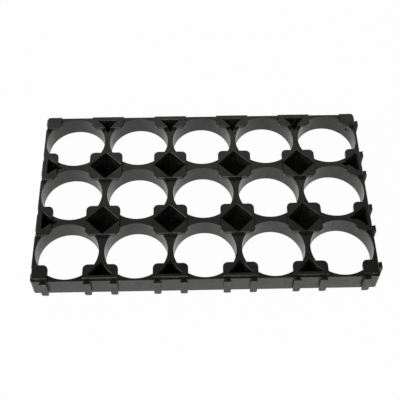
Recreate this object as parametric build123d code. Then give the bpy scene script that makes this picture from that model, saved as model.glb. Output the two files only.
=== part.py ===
from build123d import *
import math
import os

# Battery cell holder bracket: one moulded frame that spaces cylindrical cells on a square grid.
# Millimetres, +Z up. The origin is the middle of the underside's outline, ribs included.
# Cells enter from the underside and stop against the pads on top.

# Cell grid, for cells 18 mm across
COLUMNS = 5
ROWS = 3
BORE_DIAMETER = 18.6
WEB = 1.6  # between two bores where they are closest
LEAD_IN = 0.5  # chamfer round the lower end of each bore

# Frame
FRAME_HEIGHT = 6.8
EDGE_SETBACK = 0.15  # outer faces stand this far inside the half-pitch line
CORNER_RADIUS = 0.8  # the four upright outer corners

# Pads at the grid crossings, which overhang the bores and stop the cells
PAD_REACH = 5.1  # from the crossing to each side of its pad
PAD_THICKNESS = 1.1
PAD_CORNER_RADIUS = 1.5
PAD_SETBACK = 0.4  # from the outer faces
RIM_CHAMFER = 0.15  # round the pads and the pockets in them

# Pockets that thin the crossings, open on top
POCKET_FLOOR = 1.1
DIAMOND_WALL = 1.5  # between a diamond pocket and the nearest bores
DIAMOND_TIP_RADIUS = 0.4
EDGE_POCKET_WALL = 1.3  # between an edge pocket and its two bores
EDGE_POCKET_SKIN = 1.4  # between an edge pocket and the outer face, on the ribbed sides
EDGE_POCKET_TIP_RADIUS = 0.25

# Dovetail ribs on the front and right, and the slots in the back and left that take them
RIB_DEPTH = 1.0
RIB_TIP_WIDTH = 2.15
RIB_ROOT_WIDTH = 1.6
RIB_INSET = 0.2  # from the side of a pad to the tip of the rib below it
RIB_CHAMFER = 0.45  # the two lower corners of a rib
SLOT_CLEARANCE = 0.12
SLOT_WALL = 0.8  # left between a slot and the pocket behind it

# Moulding marks
EJECTOR_DIAMETER = 2.4
EJECTOR_DEPTH = 0.15
GATE_DIAMETER = 0.6
GATE_DEPTH = 0.3
GATE_ANGLE = 37  # degrees round the bore from the right
GATE_HEIGHT = 4.4

pitch = BORE_DIAMETER + WEB
bore_radius = BORE_DIAMETER / 2
height = FRAME_HEIGHT + PAD_THICKNESS
length = COLUMNS * pitch - 2 * EDGE_SETBACK
width = ROWS * pitch - 2 * EDGE_SETBACK
rib_offset = PAD_REACH - RIB_INSET - RIB_TIP_WIDTH / 2
slot_depth = RIB_DEPTH + SLOT_CLEARANCE
through = 2 * height  # a cut this long passes both faces


def cell_centres():
    """Centres of the bores, row by row from the front left."""
    for row in range(ROWS):
        for column in range(COLUMNS):
            x = (column - (COLUMNS - 1) / 2) * pitch
            y = (row - (ROWS - 1) / 2) * pitch
            yield x, y


def crossing_lines(count):
    """Positions of the grid lines across one direction of the frame."""
    return [(i - count / 2) * pitch for i in range(count + 1)]


def outline(inset):
    """The frame's rounded outline seen from above, drawn in by an inset."""
    return RectangleRounded(length - 2 * inset, width - 2 * inset, CORNER_RADIUS)


def dovetail(clearance):
    """A rib seen from above: it points towards -Y from the outer face at y = 0 and widens to its tip."""
    root = RIB_ROOT_WIDTH / 2 + clearance
    tip = RIB_TIP_WIDTH / 2 + clearance
    reach = RIB_DEPTH + clearance
    buried = 0.3
    corners = [(-root, buried), (-root, 0), (-tip, -reach), (tip, -reach), (root, 0), (root, buried)]
    return Polygon(*corners, align=None)


def dovetail_places(count):
    """Positions along a side: a pair at each inner grid line and one at each end."""
    places = []
    for line in crossing_lines(count):
        for side in (-1, 1):
            if abs(line + side * rib_offset) < count * pitch / 2:
                places.append(line + side * rib_offset)
    return places


def rib():
    """One upright rib with its two lower corners cut off."""
    side = RIB_CHAMFER * math.sqrt(2)
    corner = Rot(0, 45, 0) * Box(side, 4 * RIB_DEPTH, side)
    corners = [Pos(x, 0, 0) * corner for x in (-RIB_TIP_WIDTH / 2, RIB_TIP_WIDTH / 2)]
    return extrude(dovetail(0), FRAME_HEIGHT) - corners


def slots():
    """The slot profiles in the back and left faces, seen from above."""
    profile = dovetail(SLOT_CLEARANCE)
    back = [Pos(x, width / 2, 0) * profile for x in dovetail_places(COLUMNS)]
    left = [Pos(-length / 2, y, 0) * Rot(0, 0, 90) * profile for y in dovetail_places(ROWS)]
    return back + left


def ribs():
    """The ribs on the front and right faces."""
    solid = rib()
    front = [Pos(x, -width / 2, 0) * solid for x in dovetail_places(COLUMNS)]
    right = [Pos(length / 2, y, 0) * Rot(0, 0, 90) * solid for y in dovetail_places(ROWS)]
    return front + right


def frame():
    """The frame below the pads, with its bores, slots and lead-in chamfers."""
    section = outline(0)
    section -= [Pos(x, y, 0) * Circle(bore_radius) for x, y in cell_centres()]
    section -= slots()
    solid = extrude(section, FRAME_HEIGHT)
    lead_in = Cone(bore_radius + LEAD_IN, bore_radius, LEAD_IN, align=(Align.CENTER, Align.CENTER, Align.MIN))
    return solid - [Pos(x, y, 0) * lead_in for x, y in cell_centres()]


def pads():
    """A rounded square pad on every crossing, cut off just inside the outer faces."""
    pad = RectangleRounded(2 * PAD_REACH, 2 * PAD_REACH, PAD_CORNER_RADIUS)
    solids = []
    for x in crossing_lines(COLUMNS):
        for y in crossing_lines(ROWS):
            section = outline(PAD_SETBACK) & Pos(x, y, 0) * pad
            solids.append(Pos(0, 0, FRAME_HEIGHT) * extrude(section, PAD_THICKNESS))
    return solids


def diamond_pockets():
    """Square pockets turned 45 degrees in the crossings between four bores."""
    half_side = pitch / math.sqrt(2) - bore_radius - DIAMOND_WALL
    section = Rot(0, 0, 45) * RectangleRounded(2 * half_side, 2 * half_side, DIAMOND_TIP_RADIUS)
    solid = Pos(0, 0, POCKET_FLOOR) * extrude(section, through)
    places = [(x, y) for x in crossing_lines(COLUMNS)[1:-1] for y in crossing_lines(ROWS)[1:-1]]
    return [Pos(x, y, 0) * solid for x, y in places]


def edge_pocket(skin):
    """A pocket between an outer face on y = 0 and the two bores behind it, on +Y."""
    reach = pitch / 2 - EDGE_SETBACK
    section = Pos(0, skin, 0) * Rectangle(pitch, reach - skin, align=(Align.CENTER, Align.MIN))
    clear = Circle(bore_radius + EDGE_POCKET_WALL)
    section -= [Pos(-pitch / 2, reach, 0) * clear, Pos(pitch / 2, reach, 0) * clear]
    section = fillet(section.vertices(), EDGE_POCKET_TIP_RADIUS)
    return Pos(0, 0, POCKET_FLOOR) * extrude(section, through)


def edge_pockets():
    """The pockets along the four sides; those behind slots start deeper."""
    near = edge_pocket(EDGE_POCKET_SKIN)
    deep = edge_pocket(slot_depth + SLOT_WALL)
    solids = []
    for x in crossing_lines(COLUMNS)[1:-1]:
        solids.append(Pos(x, -width / 2, 0) * near)
        solids.append(Pos(x, width / 2, 0) * Rot(0, 0, 180) * deep)
    for y in crossing_lines(ROWS)[1:-1]:
        solids.append(Pos(length / 2, y, 0) * Rot(0, 0, 90) * near)
        solids.append(Pos(-length / 2, y, 0) * Rot(0, 0, -90) * deep)
    return solids


def ejector_marks():
    """Shallow round marks on the underside, below the diamond pockets."""
    mark = Cylinder(EJECTOR_DIAMETER / 2, 2 * EJECTOR_DEPTH)
    places = [(x, y) for x in crossing_lines(COLUMNS)[1:-1] for y in crossing_lines(ROWS)[1:-1]]
    return [Pos(x, y, 0) * mark for x, y in places]


def gate_mark():
    """A small dimple in the wall of the back right bore."""
    x, y = list(cell_centres())[-1]
    dimple = Pos(bore_radius, 0, 0) * Rot(0, 90, 0) * Cylinder(GATE_DIAMETER / 2, 2 * GATE_DEPTH)
    return Pos(x, y, GATE_HEIGHT) * Rot(0, 0, GATE_ANGLE) * dimple


def bracket():
    """The whole bracket, moved so that the middle of its outline is the origin."""
    solid = frame() + pads() + ribs()
    solid -= diamond_pockets() + edge_pockets()
    rims = [e for e in solid.edges() if abs(e.bounding_box().min.Z - height) < 0.001]
    solid = chamfer(rims, RIM_CHAMFER)
    solid -= ejector_marks()
    solid -= gate_mark()
    return Pos(-RIB_DEPTH / 2, RIB_DEPTH / 2, 0) * solid


os.makedirs("parts", exist_ok=True)
export_step(bracket(), "parts/cell_bracket.step")
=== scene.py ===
import math

import bpy
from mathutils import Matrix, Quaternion, Vector


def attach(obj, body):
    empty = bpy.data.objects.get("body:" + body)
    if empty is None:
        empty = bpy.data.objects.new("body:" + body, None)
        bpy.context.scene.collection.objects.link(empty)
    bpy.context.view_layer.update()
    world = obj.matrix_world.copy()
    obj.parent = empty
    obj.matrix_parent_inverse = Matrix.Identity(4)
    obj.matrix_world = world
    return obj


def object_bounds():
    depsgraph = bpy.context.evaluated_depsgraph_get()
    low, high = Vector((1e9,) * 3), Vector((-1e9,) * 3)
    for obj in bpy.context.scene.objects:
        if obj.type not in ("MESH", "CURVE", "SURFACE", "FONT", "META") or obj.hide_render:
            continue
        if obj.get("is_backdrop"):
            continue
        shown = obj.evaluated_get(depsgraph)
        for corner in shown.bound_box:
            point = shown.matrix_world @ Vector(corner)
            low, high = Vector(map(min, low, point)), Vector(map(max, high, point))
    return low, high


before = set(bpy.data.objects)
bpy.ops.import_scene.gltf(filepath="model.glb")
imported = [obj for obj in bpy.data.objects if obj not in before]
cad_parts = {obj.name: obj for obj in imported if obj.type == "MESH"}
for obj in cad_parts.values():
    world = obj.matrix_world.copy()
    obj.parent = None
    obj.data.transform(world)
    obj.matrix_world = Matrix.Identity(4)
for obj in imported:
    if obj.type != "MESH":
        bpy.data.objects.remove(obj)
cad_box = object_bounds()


# Camera: a portrait lens a quarter of a metre from the bracket, looking down over its ribbed long side.
# The angles give the way from the aim point back to the lens, and the roll is about that line.
MM = 0.001
CAMERA_AIM = Vector((-1.409, 2.203, 0)) * MM
CAMERA_AZIMUTH = math.radians(-1.78)
CAMERA_ELEVATION = math.radians(56.18)
CAMERA_ROLL = math.radians(0.57)
CAMERA_DISTANCE = 247.0 * MM
CAMERA_LENS = 70.25
CAMERA_SENSOR = 36.0
CAMERA_NEAR = 10 * MM
CAMERA_FAR = 20.0


def link(obj):
    """Puts a new object in the scene."""
    bpy.context.collection.objects.link(obj)
    return obj


scene = bpy.context.scene
scene.view_settings.view_transform = "Standard"
away = Vector((
    math.sin(CAMERA_AZIMUTH) * math.cos(CAMERA_ELEVATION),
    -math.cos(CAMERA_AZIMUTH) * math.cos(CAMERA_ELEVATION),
    math.sin(CAMERA_ELEVATION),
))
camera = link(bpy.data.objects.new("camera", bpy.data.cameras.new("camera")))
camera.data.sensor_width = CAMERA_SENSOR
camera.data.lens = CAMERA_LENS
camera.data.clip_start = CAMERA_NEAR
camera.data.clip_end = CAMERA_FAR
camera.location = CAMERA_AIM + away * CAMERA_DISTANCE
camera.rotation_mode = "QUATERNION"
camera.rotation_quaternion = Quaternion(away, CAMERA_ROLL) @ away.to_track_quat("Z", "Y")
scene.camera = camera


# Floor: a plain sheet of matt white paper, a hair below the bracket's underside.
# The lens and the plastic see it almost wholly as a plain white glow. The small rest is lit by the lamps
# and takes the bracket's shadow, which is faint for that reason.
FLOOR_SIZE = 6.0
FLOOR_DROP = 0.02 * MM
FLOOR_COLOUR = "#f2f2f0"
WHITE = "#ffffff"
WHITE_GLOW = 1.0
FLOOR_GLOW_SHARE = 0.98


def linear(colour):
    """Turns an sRGB hex colour into linear RGBA."""
    parts = [int(colour[i:i + 2], 16) / 255 for i in (1, 3, 5)]
    return [c / 12.92 if c <= 0.04045 else ((c + 0.055) / 1.055) ** 2.4 for c in parts] + [1.0]


def add_node(tree, kind, links=None, **settings):
    """Adds a node. Settings are attributes or input values; links feed inputs from other nodes' sockets."""
    node = tree.nodes.new(kind)
    for key, value in settings.items():
        if hasattr(node, key):
            setattr(node, key, value)
        else:
            node.inputs[key.replace("_", " ")].default_value = value
    for key, socket in (links or {}).items():
        tree.links.new(socket, node.inputs[key])
    return node


def new_material(name):
    """An empty node material and its output node."""
    material = bpy.data.materials.new(name)
    material.use_nodes = True
    material.node_tree.nodes.clear()
    return material, add_node(material.node_tree, "ShaderNodeOutputMaterial")


floor_material, floor_output = new_material("matt white paper")
tree = floor_material.node_tree
paper = add_node(tree, "ShaderNodeBsdfDiffuse", Color=linear(FLOOR_COLOUR))
glow = add_node(tree, "ShaderNodeEmission", Color=linear(WHITE), Strength=WHITE_GLOW)
rays = add_node(tree, "ShaderNodeLightPath")
seen = add_node(
    tree,
    "ShaderNodeMath",
    {0: rays.outputs["Is Camera Ray"], 1: rays.outputs["Is Glossy Ray"]},
    operation="MAXIMUM",
)
share = add_node(tree, "ShaderNodeMath", {0: seen.outputs[0]}, operation="MULTIPLY")
share.inputs[1].default_value = FLOOR_GLOW_SHARE
surface = add_node(
    tree,
    "ShaderNodeMixShader",
    {0: share.outputs[0], 1: paper.outputs[0], 2: glow.outputs[0]},
)
tree.links.new(surface.outputs[0], floor_output.inputs["Surface"])

floor_mesh = bpy.data.meshes.new("floor")
half = FLOOR_SIZE / 2
floor_mesh.from_pydata(
    [(-half, -half, 0), (half, -half, 0), (half, half, 0), (-half, half, 0)], [], [(0, 1, 2, 3)]
)
floor = link(bpy.data.objects.new("floor", floor_mesh))
floor.data.materials.append(floor_material)
floor.location.z = -FLOOR_DROP
floor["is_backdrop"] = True


# Light: four softboxes round and above the bracket, the left one the lowest, to light the edges.
# Black plastic shows mostly what it mirrors, so the room stays dark to it, though the lens sees white.
ROOM_STRENGTH = 0.06
SOFTBOXES = (  # name, place and width in metres, power in watts
    ("left softbox", (-1.1, -0.35, 0.5), 0.6, 4.2),
    ("front softbox", (-0.1, -1.1, 0.75), 0.5, 4.0),
    ("back softbox", (-0.1, 1.3, 0.95), 1.2, 4.2),
    ("overhead softbox", (-0.5, -0.6, 1.3), 0.8, 1.9),
)

world = bpy.data.worlds.new("room")
scene.world = world
world.use_nodes = True
tree = world.node_tree
tree.nodes.clear()
room = add_node(tree, "ShaderNodeBackground", Color=linear(WHITE), Strength=ROOM_STRENGTH)
paper_wall = add_node(tree, "ShaderNodeBackground", Color=linear(WHITE), Strength=WHITE_GLOW)
rays = add_node(tree, "ShaderNodeLightPath")
around = add_node(
    tree,
    "ShaderNodeMixShader",
    {0: rays.outputs["Is Camera Ray"], 1: room.outputs[0], 2: paper_wall.outputs[0]},
)
add_node(tree, "ShaderNodeOutputWorld", {"Surface": around.outputs[0]})

for name, stand, width, power in SOFTBOXES:
    lamp = link(bpy.data.objects.new(name, bpy.data.lights.new(name, "AREA")))
    lamp.data.shape = "SQUARE"
    lamp.data.size = width
    lamp.data.energy = power
    lamp.location = stand
    lamp.rotation_mode = "QUATERNION"
    lamp.rotation_quaternion = Vector(stand).to_track_quat("Z", "Y")


# Bracket: a flat frame of fifteen bores that holds round cells upright and joins its neighbours by dovetails.
# It is one piece of black ABS, injection moulded. The tool leaves a satin skin, a small cut-off gate in the
# wall of one bore and edges that are very slightly round.
ABS_DEEP = "#161615"
ABS_GREYED = "#242423"
# A paler grey: the painted highlight, with a little wear, along the edges, and the streaks on the upright
# walls.
ABS_PALE_GREY = "#42423f"
ABS_IOR = 1.54
ABS_SHINE = 0.42
ABS_SHEEN_TINT = "#fffcf6"
ROUGHNESS_SMOOTH = 0.22
ROUGHNESS_DULL = 0.40
ROUGHNESS_GATE = 0.9
FLOW_SIZE = 14.0 * MM
FLOW_DETAIL = 3.0
FLOW_SPREAD = (0.35, 0.65)
BLOTCH_SIZE = 2.2 * MM
BLOTCH_DETAIL = 4.0
CLOUD_SIZE = 3.2 * MM
CLOUD_DETAIL = 4.0
CLOUD_SPREAD = (0.3, 0.7)
STREAK_WIDTH = 1.3 * MM
STREAK_STRETCH = 0.35  # a streak's width as a share of its height
STREAK_DETAIL = 5.0
STREAK_SPREAD = (0.42, 0.68)
STREAK_SHARE = 0.45
WALL_STEEPNESS = (0.6, 0.2)  # how far a normal tilts up or down where walls begin, and where they are full
GRAIN_SIZE = 0.16 * MM  # coarser than real spark erosion, which would be too fine to show
GRAIN_DETAIL = 2.0
GRAIN_DEPTH = 0.006 * MM
GRAIN_STRENGTH = 0.8
SINK_DEPTH = 0.03 * MM
SINK_STRENGTH = 0.5
EDGE_RADIUS = 0.14 * MM
EDGE_SAMPLES = 4
EDGE_LEAN = (0.99, 0.80)  # how alike the rounded and the flat normal are where an edge begins, and on it
SPOT_CORE = 0.7  # the share of a spot's reach that has its full colour
PITCH = 20.2 * MM
COLUMNS = 5
ROWS = 3
BORE_RADIUS = 9.3 * MM
GRID_SHIFT = Vector((-0.5, 0.5, 0)) * MM
# Painted shade for the gate's dimple, whose hollow is not modelled.
GATE_SHADE_COLOUR = "#020202"
GATE_ANGLE = math.radians(37)
GATE_HEIGHT = 4.4 * MM
GATE_REACH = 0.7 * MM
PALE_SPOT_COLOUR = "#b9b9b4"
PALE_SPOT_PLACE = Vector((-47.1, -30.8, 6.4)) * MM
PALE_SPOT_REACH = 0.3 * MM


def noise(tree, coordinates, size, detail):
    """Noise whose features are about the given size in metres, for coordinates in metres."""
    return add_node(
        tree, "ShaderNodeTexNoise", {"Vector": coordinates}, Scale=1 / size, Detail=detail
    ).outputs["Fac"]


def remap(tree, value, low, high, to_low, to_high):
    """Maps a value from one range to another and holds it there."""
    node = add_node(tree, "ShaderNodeMapRange", {"Value": value})
    for key, number in zip(("From Min", "From Max", "To Min", "To Max"), (low, high, to_low, to_high)):
        node.inputs[key].default_value = number
    return node.outputs["Result"]


def blend_colour(tree, share, first, second):
    """Mixes two colours; each is a socket or an RGBA list."""
    node = add_node(tree, "ShaderNodeMix", data_type="RGBA")
    tree.links.new(share, node.inputs[0])
    for index, colour in ((6, first), (7, second)):
        if isinstance(colour, list):
            node.inputs[index].default_value = colour
        else:
            tree.links.new(colour, node.inputs[index])
    return node.outputs[2]


def away_from(tree, coordinates, centre, reach):
    """0 near a centre, 1 beyond its reach, with a soft edge."""
    gap = add_node(tree, "ShaderNodeVectorMath", {0: coordinates}, operation="DISTANCE")
    gap.inputs[1].default_value = centre
    return remap(tree, gap.outputs["Value"], reach * SPOT_CORE, reach, 0.0, 1.0)


# Moulded ABS looks nearly black. It mirrors broad lights softly, and its grey drifts a little with the flow.
abs_material, abs_output = new_material("moulded black ABS")
tree = abs_material.node_tree
place = add_node(tree, "ShaderNodeTexCoord").outputs["Object"]
flow = noise(tree, place, FLOW_SIZE, FLOW_DETAIL)
blotch = noise(tree, place, BLOTCH_SIZE, BLOTCH_DETAIL)
cloud = noise(tree, place, CLOUD_SIZE, CLOUD_DETAIL)
grain = noise(tree, place, GRAIN_SIZE, GRAIN_DETAIL)

# The Bevel node rounds the edges to the light and also finds them. There a paler grey is painted in patches:
# a painted highlight, with a little wear.
soft_edge = add_node(tree, "ShaderNodeBevel", samples=EDGE_SAMPLES, Radius=EDGE_RADIUS)
geometry = add_node(tree, "ShaderNodeNewGeometry")
alike = add_node(
    tree,
    "ShaderNodeVectorMath",
    {0: soft_edge.outputs[0], 1: geometry.outputs["Normal"]},
    operation="DOT_PRODUCT",
).outputs["Value"]
edge = remap(tree, alike, *EDGE_LEAN, 0.0, 1.0)

drifting = remap(tree, flow, *FLOW_SPREAD, 0.0, 1.0)
drift = blend_colour(tree, drifting, linear(ABS_DEEP), linear(ABS_GREYED))
# Painted edge highlight, with a little wear, in patches.
edge_wear_and_highlight = add_node(tree, "ShaderNodeMath", {0: edge, 1: blotch}, operation="MULTIPLY").outputs[0]
edged = blend_colour(tree, edge_wear_and_highlight, drift, linear(ABS_PALE_GREY))

# Faint paler streaks, stretched upright, on the walls only.
stretch = add_node(tree, "ShaderNodeVectorMath", {0: place}, operation="MULTIPLY")
stretch.inputs[1].default_value = (1, 1, STREAK_STRETCH)
streak = noise(tree, stretch.outputs[0], STREAK_WIDTH, STREAK_DETAIL)
facing = add_node(tree, "ShaderNodeSeparateXYZ", {0: geometry.outputs["Normal"]})
steepness = add_node(
    tree, "ShaderNodeMath", {0: facing.outputs["Z"]}, operation="ABSOLUTE"
).outputs[0]
upright = remap(tree, steepness, *WALL_STEEPNESS, 0.0, 1.0)
streaked = add_node(
    tree,
    "ShaderNodeMath",
    {0: upright, 1: remap(tree, streak, *STREAK_SPREAD, 0.0, STREAK_SHARE)},
    operation="MULTIPLY",
).outputs[0]
walled = blend_colour(tree, streaked, edged, linear(ABS_PALE_GREY))

# The gate's dimple, in the bore at the back right, is dull, and painted near black as the shade in its
# hollow, which is not modelled. A small pale spot lies on the first front rib.
last_bore = Vector(((COLUMNS - 1) / 2 * PITCH, (ROWS - 1) / 2 * PITCH, GATE_HEIGHT)) + GRID_SHIFT
gate = last_bore + BORE_RADIUS * Vector((math.cos(GATE_ANGLE), math.sin(GATE_ANGLE), 0))
off_gate = away_from(tree, place, gate, GATE_REACH)
gated = blend_colour(tree, off_gate, linear(GATE_SHADE_COLOUR), walled)
# A small pale spot on the first front rib.
off_pale_spot = away_from(tree, place, PALE_SPOT_PLACE, PALE_SPOT_REACH)
colour = blend_colour(tree, off_pale_spot, linear(PALE_SPOT_COLOUR), gated)

clouded = remap(tree, cloud, *CLOUD_SPREAD, ROUGHNESS_SMOOTH, ROUGHNESS_DULL)
roughness = add_node(tree, "ShaderNodeMix", {"Factor": off_gate, "B": clouded}, data_type="FLOAT")
roughness.inputs["A"].default_value = ROUGHNESS_GATE

sink = add_node(
    tree, "ShaderNodeBump", {"Height": blotch, "Normal": soft_edge.outputs[0]}, Distance=SINK_DEPTH
)
sink.inputs["Strength"].default_value = SINK_STRENGTH
skin = add_node(
    tree, "ShaderNodeBump", {"Height": grain, "Normal": sink.outputs[0]}, Distance=GRAIN_DEPTH
)
skin.inputs["Strength"].default_value = GRAIN_STRENGTH
plastic = add_node(
    tree,
    "ShaderNodeBsdfPrincipled",
    {
        "Base Color": colour,
        "Roughness": roughness.outputs[0],
        "Normal": skin.outputs[0],
    },
    IOR=ABS_IOR,
    Specular_IOR_Level=ABS_SHINE,
    Specular_Tint=linear(ABS_SHEEN_TINT),
)
tree.links.new(plastic.outputs[0], abs_output.inputs["Surface"])

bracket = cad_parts["cell_bracket"]
bracket.data.materials.clear()
bracket.data.materials.append(abs_material)


# Pips: a small low dome on the floor of each pocket, such as the end of a core pin leaves.
# They are moulded in one with the bracket, in the same black ABS.
# Geometry Nodes set them out, from one point for each pocket.
POCKET_FLOOR = 1.1 * MM
EDGE_PIP_INSET = 4.6 * MM
INNER_PIP_SHIFT = 3.8 * MM  # towards the back corner of a diamond pocket
PIP_RADIUS = 0.42 * MM
PIP_HEIGHT = 0.22 * MM
PIP_VARIATION = (0.85, 1.15)
PIP_SEGMENTS = 20
PIP_RINGS = 10
PIP_SEED = 7


def pip_places():
    """A point on the floor of each pocket. The four corners of the grid have none."""
    for column in range(COLUMNS + 1):
        for row in range(ROWS + 1):
            on_side = column in (0, COLUMNS)
            on_end = row in (0, ROWS)
            if on_side and on_end:
                continue
            x = (column - COLUMNS / 2) * PITCH
            y = (row - ROWS / 2) * PITCH
            if on_side:
                x -= math.copysign(EDGE_PIP_INSET, x)
            elif on_end:
                y -= math.copysign(EDGE_PIP_INSET, y)
            else:
                y += INNER_PIP_SHIFT
            yield Vector((x, y, POCKET_FLOOR)) + GRID_SHIFT


def pip_tree():
    """A node tree that puts a flattened dome, slightly varied in size, on every point."""
    tree = bpy.data.node_groups.new("core pin pips", "GeometryNodeTree")
    for name, kind in (
        ("Geometry", "NodeSocketGeometry"),
        ("Pip radius", "NodeSocketFloat"),
        ("Pip height", "NodeSocketFloat"),
        ("Seed", "NodeSocketInt"),
        ("Plastic", "NodeSocketMaterial"),
    ):
        tree.interface.new_socket(name, in_out="INPUT", socket_type=kind)
    tree.interface.new_socket("Geometry", in_out="OUTPUT", socket_type="NodeSocketGeometry")
    given = add_node(tree, "NodeGroupInput").outputs
    ball = add_node(tree, "GeometryNodeMeshUVSphere", Segments=PIP_SEGMENTS, Rings=PIP_RINGS, Radius=1.0)
    flat = add_node(
        tree,
        "ShaderNodeCombineXYZ",
        {"X": given["Pip radius"], "Y": given["Pip radius"], "Z": given["Pip height"]},
    )
    vary = add_node(tree, "FunctionNodeRandomValue", {"Seed": given["Seed"]}, data_type="FLOAT")
    vary.inputs[2].default_value, vary.inputs[3].default_value = PIP_VARIATION
    size = add_node(
        tree,
        "ShaderNodeVectorMath",
        {0: flat.outputs[0], "Scale": vary.outputs[1]},
        operation="SCALE",
    )
    placed = add_node(
        tree,
        "GeometryNodeInstanceOnPoints",
        {"Points": given["Geometry"], "Instance": ball.outputs["Mesh"], "Scale": size.outputs[0]},
    )
    real = add_node(tree, "GeometryNodeRealizeInstances", {0: placed.outputs[0]})
    smooth = add_node(tree, "GeometryNodeSetShadeSmooth", {"Geometry": real.outputs[0]})
    coated = add_node(
        tree, "GeometryNodeSetMaterial", {"Geometry": smooth.outputs[0], "Material": given["Plastic"]}
    )
    add_node(tree, "NodeGroupOutput", {0: coated.outputs[0]})
    return tree


def grown(name, points, tree, inputs):
    """Runs a node tree on points with named inputs, and keeps the result as a plain mesh."""
    dots = bpy.data.meshes.new(name + " points")
    dots.from_pydata([tuple(point) for point in points], [], [])
    carrier = link(bpy.data.objects.new(name + " points", dots))
    modifier = carrier.modifiers.new("grow", "NODES")
    modifier.node_group = tree
    for item in tree.interface.items_tree:
        if item.in_out == "INPUT" and item.name in inputs:
            modifier[item.identifier] = inputs[item.name]
    bpy.context.view_layer.update()
    finished = carrier.evaluated_get(bpy.context.evaluated_depsgraph_get())
    made = bpy.data.meshes.new_from_object(finished)
    bpy.data.objects.remove(carrier)
    made.name = name
    return link(bpy.data.objects.new(name, made))


pips = grown(
    "core_pin_pips",
    pip_places(),
    pip_tree(),
    {"Pip radius": PIP_RADIUS, "Pip height": PIP_HEIGHT, "Seed": PIP_SEED, "Plastic": abs_material},
)
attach(pips, "root")


# The boxes round the bare part and the finished one, in metres.
built_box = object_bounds()
boxes = {"cad": cad_box, "visual": built_box}
{name: [list(corner) for corner in box] for name, box in boxes.items()}
